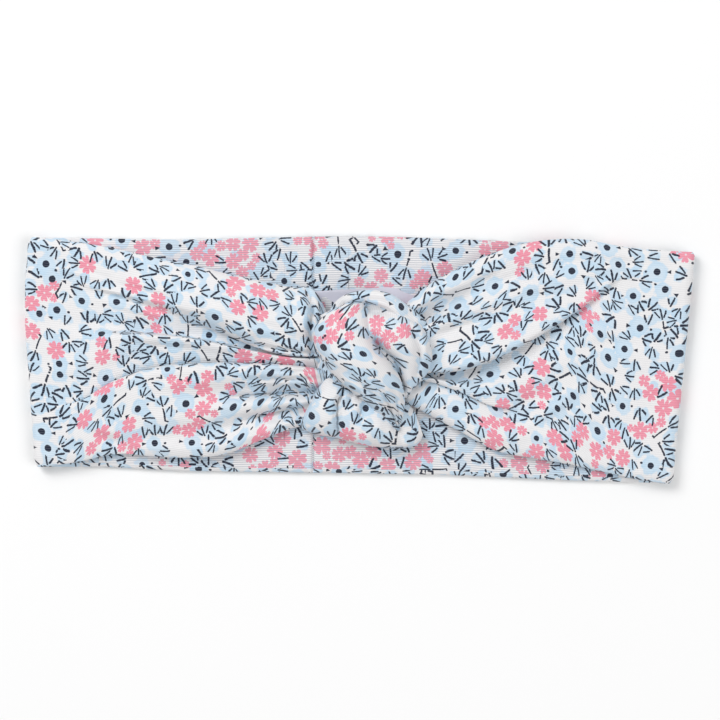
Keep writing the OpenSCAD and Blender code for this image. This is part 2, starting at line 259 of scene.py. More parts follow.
def flat_rows(template_y, xs):
    """The band's rows where it lies flat: as many as the panel has, shared out between its edges."""
    top, bottom = (np.interp(xs, *zip(*edge)) for edge in (BACK_TOP, BACK_BOTTOM))
    share = (template_y - template_y[0]) / (min(template_y) - template_y[0])
    return top[:, None] + share[None, :] * (bottom - top)[:, None]


def slant(side, y):
    """How far the fold line leans inwards from the hinge line, where the cloth wasn't folded square."""
    if side > 0:
        return -0.1 * (29 - y)
    return 0.07 * np.maximum(0, 10 - y) + 0.09 * np.maximum(0, y - 22)


def band_half(side, xs_table, rows, creases, join_x):
    """One half of the band, from the back seam round the fold to the knot, as one closed tube. Returns
    its points (stations by ring), the distance of each station along the band, the ring's first sample
    on the underside and its sample on the lower edge, and the fold's two end stations."""
    ys0 = np.array([r[0] for r in rows], float)
    zs0 = np.array([r[1] for r in rows], float)
    at_fold = -1 if side > 0 else 0
    fold_y, fold_h = ys0[:, at_fold], zs0[:, at_fold] - FRONT_MID
    knot_x = xs_table[0] if side > 0 else xs_table[-1]
    back_x = np.linspace(join_x, side * FOLD_X, int(abs(side * FOLD_X - join_x) / CELL) + 1)
    turn = np.linspace(-90, 90, 13)[1:-1]
    front_x = np.linspace(side * FOLD_X, knot_x, int(abs(side * FOLD_X - knot_x) / CELL) + 1)
    stations, length = [], []
    for x, y in zip(back_x, flat_rows(fold_y, back_x)):
        stations.append(station(x, y, PLY - fold_h))
        length.append(abs(x - join_x))
    last = length[-1]
    arc = FOLD_R - PLY
    for degrees in turn:
        a = math.radians(degrees)
        reach = arc + fold_h
        stations.append(station(side * (FOLD_X + reach * math.cos(a)), fold_y, FOLD_R + reach * math.sin(a)))
        length.append(last + arc * (a + math.pi / 2))
    last += arc * math.pi
    for x, y, z in zip(front_x, smooth_rows(xs_table, ys0, front_x), smooth_rows(xs_table, zs0, front_x)):
        stations.append(station(x, y, z))
        length.append(last + abs(front_x[0] - x))
    tube, counts = close_rows(np.stack(stations))
    n_front = len(front_x)
    n_top = int(sum(counts[:len(rows) - 2]))
    # soft creases and ripples on the upper side of the front
    upper = tube[-n_front:, :n_top].reshape(-1, 3)
    near_knot = 1 - ramp(8, 75, np.abs(upper[:, 0]))
    lift = crease_depth(upper, creases)
    lift += ripple(upper, 0.035, 0.42, 3.1 + side) * (0.08 + 0.4 * near_knot)
    lift += ripple(upper, 0.09, 0.16, 7.7 + side) * 0.3
    edge_fade = np.clip((upper[:, 2] - 3.5) / 0.9, 0, 1)
    upper[:, 2] += lift * edge_fade
    tube[-n_front:, :n_top] = upper.reshape(n_front, n_top, 3)
    front = tube[-n_front:]
    front[..., 2] = np.maximum(front[..., 2], LOWEST)
    if side > 0:      # the end that is tucked into the knot is gathered small
        small = (0.35 + 0.65 * ramp(7.5, 13.5, front[:, 0, 0]))[:, None]
        front[..., 1] = 1 + (front[..., 1] - 1) * small
        front[..., 2] = 3.6 + (front[..., 2] - 3.6) * small
    # the back isn't quite flat either
    back = tube[:len(back_x)].reshape(-1, 3)
    wave = ripple(back, 0.05, 0.09, 11.3) * 0.16 * ramp(0, 8, np.abs(back[:, 0] - join_x))
    back[:, 2] = np.clip(back[:, 2] + wave * (back[:, 2] > PLY), 0, BAND_T - 0.02)
    tube[:len(back_x)] = back.reshape(len(back_x), -1, 3)
    tube[..., 0] += slant(side, tube[..., 1]) * ramp(45, FOLD_X, np.abs(tube[..., 0]))
    fold_ends = len(back_x) - 1, len(back_x) + len(turn)
    return tube, np.array(length), n_top, int(sum(counts[:len(rows) - 3])), fold_ends


def seam_section():
    """The cloth round the back seam: flat, with the seam as a groove beside a lapped edge."""
    fold_y = np.array([r[0][0] for r in LEFT_ROWS], float)
    fold_h = np.array([r[1][0] for r in LEFT_ROWS], float) - FRONT_MID
    xs = np.unique(np.concatenate([np.arange(SEAM_LEFT, SEAM_RIGHT, CELL), [SEAM_RIGHT],
                                   SEAM_X + np.array([-1.6, -1, -0.5, -0.25, 0, 0.2, 0.45, 0.9, 1.5])]))
    cage = np.stack([station(x, y, PLY - fold_h) for x, y in zip(xs, flat_rows(fold_y, xs))])
    tube, counts = close_rows(cage)
    away = tube[..., 0] - SEAM_X
    dip = 0.9 * np.exp(-(away / 0.35) ** 2) + 0.35 * np.exp(-((away - 1) / 1.1) ** 2)
    nick = 0.35 * np.exp(-(away / 0.3) ** 2)
    tube[..., 2] = np.where(tube[..., 2] > PLY, np.maximum(tube[..., 2] - dip, 0.5), tube[..., 2] + nick)
    return tube, xs, int(sum(counts[:-2]))


# ---- the knot

# Each span of the knot is a list of stations: x and y of one edge, x and y of the other edge, height
# of the crest, height of the edges.
FRONT_LOOP = [
    (-7, 14.2, -3.6, 17.2, 9, 6.4), (-9.6, 13.4, -0.4, 16.9, 12.4, 6.6), (-12, 11, 2, 14.8, 15.2, 6.8),
    (-13.2, 8, 3.4, 11.2, 17.2, 7), (-13, 4.6, 3.8, 7.2, 18.6, 7.4), (-11.2, 0.6, 5.4, 3, 19.2, 8),
    (-9, -2.6, 9, -0.8, 18.8, 8.2), (-6, -6, 11.2, -4.8, 17.6, 8), (-2, -9.2, 12.4, -8.8, 15.8, 7.6),
    (1.6, -12.2, 12.7, -12.2, 13.6, 6.8), (5, -15.2, 12.3, -15.2, 11.2, 6), (8.4, -18.2, 11.7, -18, 9, 5.2),
    (10.4, -20, 11.3, -19.8, 7, 4.6),
]
RIGHT_LOBE = [
    (-2.4, 15.8, 8.6, 16.4, 9.4, 7), (-1, 13, 11, 14, 12, 7.6), (-0.4, 10.6, 13.8, 12, 14, 8),
    (0, 7.4, 18, 8.6, 15.4, 8), (1.4, 3.6, 19.9, 4, 15.2, 7.6), (4, 0.2, 20.4, 0.4, 13.8, 7.2),
    (7, -3, 19.2, -3.4, 12, 6.8), (9.4, -6, 16.8, -6.4, 10.2, 6.4), (10.9, -8.6, 14.2, -9, 8.6, 6),
    (11.8, -10.6, 12.8, -10.6, 7, 5.6),
]
TOP_STRIP = [
    (-9, 13, -7.6, 12, 7, 5.6), (-7, 16.4, -5, 14, 9.4, 6.8), (-4, 18.5, -2.8, 15.2, 11.4, 8),
    (0, 19.5, 0.4, 16, 12.6, 9), (4.6, 19.6, 4.2, 15.4, 13.4, 9.6), (8.6, 18.6, 7.6, 14, 13.4, 9.4),
    (12, 16.4, 10.6, 11.4, 12.8, 8.8), (15.6, 13.6, 14, 8.4, 11.4, 7.6), (18.4, 11.2, 17.2, 7, 9, 6),
    (20, 9.4, 19.4, 7.6, 6.8, 5.6),
]
LOWER_FLAP = [
    (-16.8, -17.6, -13, -9.6, 5.6, 4.2), (-16.6, -19.2, -11, -6.4, 8, 3.8),
    (-14, -20.6, -8.4, -4, 10.2, 3.6), (-11, -21.3, -6, -5, 11, 3.6), (-7.4, -21.9, -3.4, -7, 10.8, 3.6),
    (-4, -22.8, -0.6, -9, 10.6, 3.6), (0.6, -24, 2.4, -10.6, 10.2, 3.6), (5, -24.6, 5.8, -12, 9.6, 3.6),
    (9.4, -24.9, 9, -12.6, 8.8, 3.6), (13.6, -24.7, 12, -12.2, 7.4, 3.6),
    (16.6, -23.6, 14, -12.6, 6.2, 3.6), (17.9, -21.4, 15.4, -14.4, 5.2, 3.8),
]
KNOT_INSIDE = [
    (-12, 8, -12, -6, 6, 4), (-9, 13, -9, -9, 8, 4), (-3, 15.6, -2, -11, 9, 4), (4, 15.4, 5, -13, 9, 4),
    (9, 13.6, 9.4, -13.4, 8.4, 4), (12.4, 10, 12.4, -11, 6.4, 4),
]


def span(stations, creases, lean):
    """A puffed span of cloth through the stations, closed all round. lean moves the crest towards
    the second edge. Creases are (place along, place across, place along, place across, half width
    across, depth), all places from 0 to 1. Returns points (stations by ring) and distances along it."""
    table = np.array(stations, float)
    hop = np.linalg.norm(np.diff((table[:, 0:2] + table[:, 2:4]) / 2, axis=0), axis=1)
    place = np.concatenate([[0], np.cumsum(hop)])
    dense = np.linspace(0, place[-1], max(8, int(place[-1] / CELL)))
    data = smooth_rows(place, table.T, dense)
    a, b, crest, base = data[:, 0:2], data[:, 2:4], data[:, 4], data[:, 5]
    width = np.linalg.norm(b - a, axis=1)
    n = max(16, int(1.6 * (width.max() + crest.max() - base.min()) / CELL / 2) * 2)
    phi = 2 * np.pi * np.arange(n) / n
    aside = np.sign(np.cos(phi)) * np.abs(np.cos(phi)) ** 0.75
    up = np.sign(np.sin(phi)) * np.abs(np.sin(phi)) ** 0.9
    across = 0.5 - 0.5 * aside
    across = across + lean * np.sin(np.pi * across) * (np.sin(phi) > 0)
    xy = a[:, None, :] + across[None, :, None] * (b - a)[:, None, :]
    rise = (crest - base)[:, None] * np.where(up > 0, up, up * 0.35)[None, :]
    z = base[:, None] + rise
    along = dense / place[-1]
    top = np.clip(up, 0, 1)[None, :]
    for s0, q0, s1, q1, half, depth in creases:
        u = np.clip((along - s0) / (s1 - s0), 0, 1)
        centre = q0 + (q1 - q0) * u
        inside = ramp(s0 - 0.06, s0 + 0.1, along) * (1 - ramp(s1 - 0.1, s1 + 0.06, along))
        away = np.abs(across[None, :] - centre[:, None]) / half
        z += depth * inside[:, None] * (np.exp(-away**1.4) - 0.25 * np.exp(-((away - 2.2) ** 2))) * top**0.5
    points = np.concatenate([xy, z[..., None]], axis=2)
    flat = points.reshape(-1, 3)
    fine = np.array([noise.noise(Vector((p[0] * 0.3, p[1] * 0.3, p[2] * 0.25))) for p in flat])
    flat[:, 2] += 0.25 * fine * np.clip((flat[:, 2] - 4) / 3, 0, 1)
    return flat.reshape(points.shape), dense


# ---- the print

# One printed motif is up to three discs on its own axis: (offset, radius). They keep the
# motifs apart, and they share the cloth out so that each face knows its nearest motif.
DOT, FOOT, TWIG, PAIR = 1, 2, 3, 4
MOTIFS = {
    DOT: [(0, 2.2), (-3.4, 0.6), (3.2, 0.4)],
    FOOT: [(0.3, 1.45), (-1.1, 0.3), (0.3, 1.45)],
    TWIG: [(1.9, 1.75), (-1.4, 0.3), (-4, 0.6)],
    PAIR: [(0.3, 1.2), (-1, 0.3), (0.3, 1.2)],
}
WASHES = {
    DOT: [(0, 0, 2.65)],
    FOOT: [(0.8, 0.8, 1.6), (0.2, -0.9, 1.3)],
    TWIG: [(2.1, 0.9, 1.75), (1.8, -1.1, 1.6)],
    PAIR: [(0.6, 0.4, 1.55)],
}


def disc_points(motif):
    """The motif's three discs as rows of x, y, radius in fabric coordinates."""
    kind, x, y, turn, size = motif[:5]
    c, s = math.cos(turn), math.sin(turn)
    return [(x + c * o * size, y + s * o * size, r * size) for o, r in MOTIFS[kind]]


def add_cluster(blossoms, rng, cx, cy, count):
    """One blossom at the place given, and smaller ones close round it."""
    big = 2.45
    for k in range(count):
        for _ in range(30):
            away = 0 if k == 0 else rng.uniform(2.4, 2.6 + 1.1 * math.sqrt(count))
            angle = rng.uniform(0, 2 * math.pi)
            size = big * (rng.uniform(0.88, 1.08) if k == 0 else rng.uniform(0.45, 0.85))
            x, y = cx + away * math.cos(angle), cy + away * math.sin(angle)
            if min((math.hypot(x - b[0], y - b[1]) - 0.8 * (size + b[2]) for b in blossoms), default=1) > 0:
                blossoms.append((x, y, size, rng.uniform(0, 6.28), 5 if rng.random() < 0.6 else 4))
                break


def scatter(low, high, seed, clusters=(), dots=(), open_cloth=lambda x, y: False):
    """Places the print on a rectangle of cloth: the blossoms and dots asked for, then more of
    each where open_cloth allows, then twigs and sprigs in the room that is left."""
    rng = np.random.default_rng(seed)
    (s0, t0), (s1, t1) = low, high
    area = (s1 - s0) * (t1 - t0)
    blossoms = []
    for x, y in clusters:
        add_cluster(blossoms, rng, x, y, int(rng.integers(1, 4)))
    for _ in range(int(area / 8)):
        x, y = rng.uniform(s0, s1), rng.uniform(t0, t1)
        if open_cloth(x, y) and min((math.hypot(x - b[0], y - b[1]) for b in blossoms), default=99) > 12:
            add_cluster(blossoms, rng, x, y, int(rng.integers(4, 8)))
    discs = np.array([(b[0], b[1], b[2] * 0.8) for b in blossoms] or [(-999, -999, 1)])
    motifs = []

    def place(motif, gap_wanted):
        nonlocal discs
        mine = np.array(disc_points(motif))
        gap = np.hypot(mine[:, None, 0] - discs[None, :, 0], mine[:, None, 1] - discs[None, :, 1])
        if (gap - mine[:, None, 2] - discs[None, :, 2]).min() > gap_wanted:
            spread = rng.uniform(0.75, 1.25) if motif[0] != DOT else 1
            motifs.append(motif + (spread, rng.uniform(-0.3, 0.3) if motif[0] != DOT else 0))
            discs = np.vstack([discs, mine])
            return True

    def place_dot(x, y, small, large, gap_wanted):
        turn = rng.normal(0, 0.3) + math.pi * (rng.random() < 0.35)
        place((DOT, x, y, turn, rng.uniform(small, large)), gap_wanted)

    for x, y in dots:
        place_dot(x, y, 0.92, 1.06, -1.6)
    for _ in range(int(area / 8)):
        x, y = rng.uniform(s0, s1), rng.uniform(t0, t1)
        if min((math.hypot(x - m[1], y - m[2]) for m in motifs), default=99) > 10.5:
            place_dot(x, y, 0.8, 1.02, 0)
    for kind, wanted in ((TWIG, area / 190), (FOOT, area / 52), (PAIR, area / 66)):
        for _ in range(int(wanted)):
            for _ in range(40):
                if place((kind, rng.uniform(s0, s1), rng.uniform(t0, t1), rng.uniform(0, 6.28),
                          rng.uniform(0.86, 1.1)), -0.05):
                    break
    washes = []
    for kind, x, y, turn, size, _, _ in motifs:
        c, s = math.cos(turn), math.sin(turn)
        for u, v, r in WASHES[kind]:
            u, v = u + rng.normal(0, 0.3), v + rng.normal(0, 0.3)
            wide = r * size * rng.uniform(0.85, 1.15)
            washes.append((x + (c * u - s * v) * size, y + (s * u + c * v) * size, wide))
    for x, y, size, _, _ in blossoms:
        if rng.random() < 0.3:
            angle = rng.uniform(0, 6.28)
            washes.append((x + 2 * math.cos(angle), y + 2 * math.sin(angle), rng.uniform(1.2, 2)))
    return motifs, blossoms, np.array(washes)


def nearest(points, discs, owner):
    """For each point, the owner of the disc whose rim is nearest, and that distance."""
    best = np.full(len(points), 1e9)
    who = np.zeros(len(points), int)
    for start in range(0, len(points), 4000):
        p = points[start:start + 4000]
        d = np.hypot(p[:, None, 0] - discs[None, :, 0], p[:, None, 1] - discs[None, :, 1]) - discs[None, :, 2]
        k = d.argmin(axis=1)
        best[start:start + 4000] = d[np.arange(len(p)), k]
        who[start:start + 4000] = owner[k]
    return who, best


def local(st, place, turn, size):
    """Fabric coordinates seen from a motif: turned and sized to it."""
    rel = (st - place) / size
    c, s = np.cos(turn), np.sin(turn)
    return rel[..., 0] * c + rel[..., 1] * s, rel[..., 1] * c - rel[..., 0] * s


def printed(tube, along, design, seed, under=None, steepness=1.0):
    """What the jersey's material reads at each face corner: fabric coordinates (with the seed as their
    third, so that no two cloths have the same mottling), place in the nearest motif and blossom, and
    distance to the nearest wash."""
    motifs, blossoms, washes = design
    corner = ring_faces(tube)
    if under is not None:
        corner[..., 1] += corner[:, :1, 1] >= under
    across = fabric_across(tube, under, steepness)
    grid = np.stack([np.broadcast_to(along[:, None], across.shape), across], axis=2)
    st = grid[corner[..., 0], corner[..., 1]]
    centre = st.mean(axis=1)
    discs = np.array([d for m in motifs for d in disc_points(m)])
    who, _ = nearest(centre, discs, np.repeat(np.arange(len(motifs)), 3))
    m = np.array(motifs)[who][:, None, :]
    u, v = local(st, m[..., 1:3], m[..., 3], m[..., 4:5])
    navy = np.stack([u + v * m[..., 6], v * m[..., 5], np.repeat(m[..., 0], 4, axis=1)], axis=2)
    petal = np.full_like(navy, 9)
    if blossoms:
        b = np.array(blossoms)
        who, _ = nearest(centre, b[:, :3], np.arange(len(b)))
        b = b[who][:, None, :]
        u, v = local(st, b[..., :2], b[..., 3], b[..., 2:3])
        petal = np.stack([u, v, np.repeat(b[..., 4], 4, axis=1)], axis=2)
    _, wash = nearest(grid.reshape(-1, 2), washes, np.arange(len(washes)))
    wash = wash.reshape(across.shape)[corner[..., 0], corner[..., 1]]
    fabric = np.concatenate([st, np.full(st.shape[:2] + (1,), float(seed))], axis=2)
    return {"fabric": fabric, "navy": navy, "petal": petal, "wash": wash[..., None]}


def back_shade(tube, along, end, under):
    """How much painted shade darkens the back: 1 on its inner ply, fading out before its end."""
    faces = np.zeros((len(tube) - 1, tube.shape[1]))
    faces[:, under:] = 1 - ramp(end - 2 * BEND, end, along[1:])[:, None]
    return np.repeat(faces.reshape(-1, 1, 1), 4, axis=1)


def fabric_across(tube, under=None, steepness=1.0):
    """Distance round each ring from its first sample, so that folds don't squeeze the print. A steepness
    below 1 counts climbs for less. From sample number under on it is counted back from the ring's end,
    where the cloth is flat; that sample has two columns, one for each count."""
    step = np.linalg.norm((np.roll(tube, -1, axis=1) - tube) * (1, 1, steepness), axis=2)
    round_it = np.concatenate([np.zeros((len(tube), 1)), np.cumsum(step, axis=1)], axis=1)
    if under is None:
        return round_it
    return np.concatenate([round_it[:, :under + 1], round_it[:, under:] - round_it[:, -1:] + ROUND], axis=1)


def ring_faces(tube):
    """The quads round a tube, each as its four (station, sample) corners."""
    i, j = np.meshgrid(np.arange(len(tube) - 1), np.arange(tube.shape[1]), indexing="ij")
    i, j = i.ravel(), j.ravel()
    return np.stack([np.stack(c, axis=1) for c in ((i, j), (i + 1, j), (i + 1, j + 1), (i, j + 1))], axis=1)


def pinned(tube, along, places, under=None, floor=2.6, ceiling=99.0, steepness=1.0):
    """Fabric coordinates of places given as x, y on the cloth seen from above."""
    across = fabric_across(tube, under, steepness)
    found = []
    for x, y in places:
        away = np.hypot(tube[..., 0] - x, tube[..., 1] - y)
        seen = (away < 1.3) & (tube[..., 2] > floor) & (tube[..., 2] < ceiling)
        rank = np.where(seen, tube[..., 2] - away, -99)
        i, j = np.unravel_index(rank.argmax(), rank.shape)
        if rank[i, j] > -50:
            found.append((along[i], across[i, j + (under is not None and j >= under)]))
    return found


def show(name, mesh, material):
    """Puts a mesh into the scene in its material."""
    mesh.materials.append(material)
    obj = bpy.data.objects.new(name, mesh)
    scene.collection.objects.link(obj)
    return obj


def tube_mesh(name, tube):
    """The closed mesh of a tube: its quads, then the two ends."""
    rows, ring = tube.shape[:2]
    corner = ring_faces(tube)
    faces = [tuple(f) for f in (corner[..., 0] * ring + corner[..., 1] % ring)]
    faces.append(tuple(range(ring)))
    faces.append(tuple(range(rows * ring - 1, (rows - 1) * ring - 1, -1)))
    mesh = bpy.data.meshes.new(name)
    mesh.from_pydata([tuple(v) for v in tube.reshape(-1, 3) * MM], [], faces)
    mesh.polygons.foreach_set("use_smooth", [True] * len(faces))
    return mesh


def cloth_mesh(name, tube, data):
    """A piece of cloth: the tube's mesh with sharp ends, carrying its fabric coordinates and its print."""
    rows, ring = tube.shape[:2]
    mesh = tube_mesh(name, tube)
    for key, value in data.items():
        wide = value.shape[2]
        filled = np.full((len(mesh.loops), wide), 9.0, np.float32)
        filled[:4 * len(value)] = value.reshape(-1, wide)
        attribute = mesh.attributes.new(key, "FLOAT_VECTOR" if wide == 3 else "FLOAT", "CORNER")
        attribute.data.foreach_set("vector" if wide == 3 else "value", filled.ravel())
    ends = np.empty(2 * len(mesh.edges), int)
    mesh.edges.foreach_get("vertices", ends)
    from_row, to_row = (ends.reshape(-1, 2) // ring).T
    rim = (from_row == to_row) & ((from_row == 0) | (from_row == rows - 1))
    mesh.attributes.new("sharp_edge", "BOOLEAN", "EDGE").data.foreach_set("value", rim)
    mesh.update()
    obj = show(name, mesh, jersey)
    return obj


# ---- materials

class Nodes:
    """Short names for building a node tree."""

    def __init__(self, name):
        self.material = bpy.data.materials.new(name)
        self.material.use_nodes = True
        self.tree = self.material.node_tree
        self.shader = self.tree.nodes["Principled BSDF"]

    def put(self, node, key, value):
        if isinstance(value, bpy.types.NodeSocket):
            self.tree.links.new(value, node.inputs[key])
        else:
            node.inputs[key].default_value = value

    def math(self, operation, *values):
        node = self.tree.nodes.new("ShaderNodeMath")
        node.operation = operation
        for i, value in enumerate(values):
            self.put(node, i, value)
        return node.outputs[0]

    def plus(self, a, b):
        return self.math("ADD", a, b)

    def minus(self, a, b):
        return self.math("SUBTRACT", a, b)

    def times(self, a, b):
        return self.math("MULTIPLY", a, b)

    def times_plus(self, a, b, c):
        return self.math("MULTIPLY_ADD", a, b, c)

    def length(self, u, v):
        return self.math("SQRT", self.times_plus(u, u, self.times(v, v)))

    def fade(self, value, start, end, low=1.0, high=0.0):
        """low where value is at start, high where it is at end, smooth between."""
        node = self.tree.nodes.new("ShaderNodeMapRange")
        node.interpolation_type = "SMOOTHSTEP"
        keys = "Value", "From Min", "From Max", "To Min", "To Max"
        for key, setting in zip(keys, (value, start, end, low, high)):
            self.put(node, key, setting)
        return node.outputs["Result"]

    def mix(self, amount, a, b):
        node = self.tree.nodes.new("ShaderNodeMix")
        node.data_type = "RGBA"
        self.put(node, 0, amount)
        self.put(node, 6, a)
        self.put(node, 7, b)
        return node.outputs[2]

    def noise(self, vector, scale, detail=2.0):
        node = self.tree.nodes.new("ShaderNodeTexNoise")
        self.put(node, "Vector", vector)
        self.put(node, "Scale", scale)
        self.put(node, "Detail", detail)
        return node.outputs["Fac"]

    def attribute(self, name, output="Vector"):
        node = self.tree.nodes.new("ShaderNodeAttribute")
        node.attribute_name = name
        return node.outputs[output]

    def place(self):
        return self.tree.nodes.new("ShaderNodeTexCoord").outputs["Object"]

    def split(self, vector):
        node = self.tree.nodes.new("ShaderNodeSeparateXYZ")
        self.put(node, 0, vector)
        return node.outputs

    def wave(self, value, length):
        """A sine of that wavelength, from 0 to 1."""
        return self.times_plus(self.math("SINE", self.times(value, 2 * math.pi / length)), 0.5, 0.5)

    def bump(self, height, strength, distance):
        node = self.tree.nodes.new("ShaderNodeBump")
        for key, value in (("Height", height), ("Strength", strength), ("Distance", distance)):
            self.put(node, key, value)
        self.put(self.shader, "Normal", node.outputs["Normal"])

    def finish(self, colour, **settings):
        """Sets the shader's colour and its other sockets, named with _ for a space."""
        self.put(self.shader, "Base Color", colour)
        for key, value in settings.items():
            self.put(self.shader, key.replace("_", " "), value)
        return self.material

    def stroke(self, u, v, x, y, degrees, length, half, bend=0.0):
        """Distance to a round-ended stroke from (x, y) in that direction."""
        c, s = math.cos(math.radians(degrees)), math.sin(math.radians(degrees))
        u = self.minus(u, x)
        v = self.minus(v, y)
        a = self.times_plus(u, c, self.times(v, s))
        b = self.times_plus(v, c, self.times(u, -s))
        if bend:
            b = self.times_plus(self.times(a, self.minus(a, length)), bend, b)
        over = self.minus(a, self.math("MINIMUM", self.math("MAXIMUM", a, 0.0), length))
        return self.minus(self.length(over, b), half)

    def least(self, *values):
        low = values[0]
        for v in values[1:]:
            low = self.math("MINIMUM", low, v)
        return low


def navy_ink(n, wobble):
    """Coverage of the navy print: dots with a fleck either side, bird-foot sprigs, twigs and leaf pairs."""
    u, v, kind = n.split(n.attribute("navy"))
    is_kind = {k: n.math("COMPARE", kind, float(k), 0.2) for k in (DOT, FOOT, TWIG, PAIR)}
    dot = n.minus(n.length(u, v), 0.98)
    fleck = n.stroke(u, v, 3.2, 0.0, 0, 0.15, 0.3)
    from_tip = n.plus(u, 4.1)
    side = n.times_plus(from_tip, 0.42, n.minus(n.math("ABSOLUTE", v), 0.55))
    arrow = n.math("MAXIMUM", side, n.times(from_tip, -1.0))
    dots = n.times_plus(n.minus(1.0, is_kind[DOT]), 9.0, n.least(dot, fleck, arrow))
    base = n.times_plus(is_kind[FOOT], 1.5, n.times_plus(is_kind[PAIR], 1.3, n.times(is_kind[TWIG], -0.2)))
    w = n.plus(u, base)
    leaf_a = n.stroke(w, v, 0.85, 0.68, 31, 2.2, 0.235, 0.03)
    leaf_b = n.stroke(w, v, 0.3, 0.0, -3, 3.0, 0.24, -0.03)
    leaf_c = n.times_plus(is_kind[PAIR], 9.0, n.stroke(w, v, 0.8, -0.68, -34, 2.0, 0.235, -0.03))
    stem = n.least(n.stroke(u, v, -4.3, 0.0, 0, 3.9, 0.225, 0.03), n.stroke(u, v, -4.3, 0.0, 112, 0.7, 0.235))
    stem = n.times_plus(n.minus(1.0, is_kind[TWIG]), 9.0, stem)
    sprig = n.times_plus(is_kind[DOT], 9.0, n.least(leaf_a, leaf_b, leaf_c, stem))
    distance = n.times_plus(wobble, 0.34, n.minus(n.least(dots, sprig), 0.17))
    return n.fade(distance, -0.04, 0.11)


def petal_ink(n, wobble):
    """Coverage of the pink print, and how close a point is to a blossom's middle."""
    u, v, petals = n.split(n.attribute("petal"))
    r = n.length(u, v)
    turn = n.times(n.math("DIVIDE", n.math("ARCTAN2", v, u), 2 * math.pi), petals)
    off = n.math("ABSOLUTE", n.minus(n.math("FRACT", n.plus(turn, 0.5)), 0.5))
    notch = n.fade(off, 0.0, 0.11, 0.2, 0.0)
    beyond = n.math("MAXIMUM", n.minus(off, 0.27), 0.0)
    reach = n.minus(n.times_plus(n.times(beyond, beyond), -12.5, 1.03), notch)
    distance = n.times_plus(wobble, 0.3, n.minus(n.minus(r, reach), 0.15))
    return n.fade(distance, -0.05, 0.06), r


def make_jersey():
    """Printed cotton rib: white ground, pale blue washes, pink blossoms and navy sprigs, with painted shade
    in the rib grooves and on the back's inner ply.
    """
    n = Nodes("printed_jersey")
    at = n.attribute("fabric")
    s, t, _ = n.split(at)
    wobble = n.noise(at, 1.5)
    broad = n.noise(at, 0.22)
    rib = n.wave(t, RIB)
    groove = n.fade(rib, 0.0, 0.5)
    colour = n.mix(broad, (0.80, 0.795, 0.81, 1), (0.865, 0.855, 0.855, 1))
    edge = n.times_plus(n.noise(at, 0.7, 3.0), 1.9, n.minus(n.attribute("wash", "Fac"), 0.95))
    blue = n.mix(n.fade(edge, -1.5, 0.1, 0.0, 0.55), (0.575, 0.735, 0.87, 1), (0.47, 0.67, 0.845, 1))
    colour = n.mix(n.times(n.fade(edge, -0.3, 0.4), n.fade(broad, 0.3, 0.7, 0.72, 1.0)), colour, blue)
    pink, r = petal_ink(n, wobble)
    rose = n.mix(broad, (0.80, 0.225, 0.315, 1), (0.86, 0.29, 0.385, 1))
    rose = n.mix(n.times(rib, 0.25), rose, (0.95, 0.62, 0.67, 1))
    middle = n.fade(r, 0.07, 0.17)
    colour = n.mix(n.times(pink, n.minus(1.0, n.times(middle, 0.9))), colour, rose)
    # painted shade: the back's inner ply is darkened, most along its rib grooves, for the shade it lies in
    # beside the front panels and the knot
    back_shade_amount = n.times(n.attribute("back_shade", "Fac"), 0.52)
    colour = n.mix(n.times(n.fade(rib, 0.0, 0.8), back_shade_amount), colour, (0.33, 0.36, 0.43, 1))
    navy = n.times(navy_ink(n, wobble), n.times_plus(rib, 0.02, 0.978))
    colour = n.mix(navy, colour, (0.008, 0.013, 0.032, 1))
    # painted shade: the rib grooves are darkened a little all over the cloth
    colour = n.mix(n.times(groove, 0.13), colour, (0.36, 0.37, 0.43, 1))
    knit = n.times(rib, n.times_plus(n.wave(s, STITCH), 0.35, 0.65))
    n.bump(n.plus(knit, n.times(n.noise(at, 5.0), 0.5)), 0.5, 0.00012)
    return n.finish(colour, Roughness=0.92, Specular_IOR_Level=0.25, Sheen_Weight=0.18, Sheen_Roughness=0.55)


def make_satin():
    """Blank satin ribbon of the care label: smooth, faintly blue, with fine cross threads."""
    n = Nodes("label_satin")
    place = n.place()
    fine = n.wave(n.split(place)[0], 0.00035)
    cloud = n.noise(place, 90.0, 3.0)
    n.bump(n.times_plus(fine, 0.6, n.times(cloud, 0.8)), 0.25, 0.00008)
    colour = n.mix(cloud, (0.60, 0.60, 0.70, 1), (0.68, 0.67, 0.75, 1))
    return n.finish(colour, Roughness=0.42, Sheen_Weight=0.2)


def make_thread():
    """White polyester sewing thread with a twist."""
    n = Nodes("white_sewing_thread")
    x, y, _ = n.split(n.place())
    band = n.wave(n.plus(x, y), 0.0007)
    colour = n.mix(band, (0.74, 0.74, 0.75, 1), (0.86, 0.86, 0.85, 1))
    return n.finish(colour, Roughness=0.55, Sheen_Weight=0.3)


def make_floor():
    """Plain pale paper."""
    n = Nodes("pale_floor")
    colour = n.mix(n.noise(n.place(), 3.0), (0.93, 0.93, 0.93, 1), (0.95, 0.95, 0.95, 1))
    return n.finish(colour, Roughness=0.9)


jersey = make_jersey()
satin = make_satin()
thread = make_thread()


# ---- the pieces

LEFT_SEED, RIGHT_SEED = 11, 23  # of each half's print
BACK_HEIGHTS = 0.9, 1.9  # the back's upper side lies between these

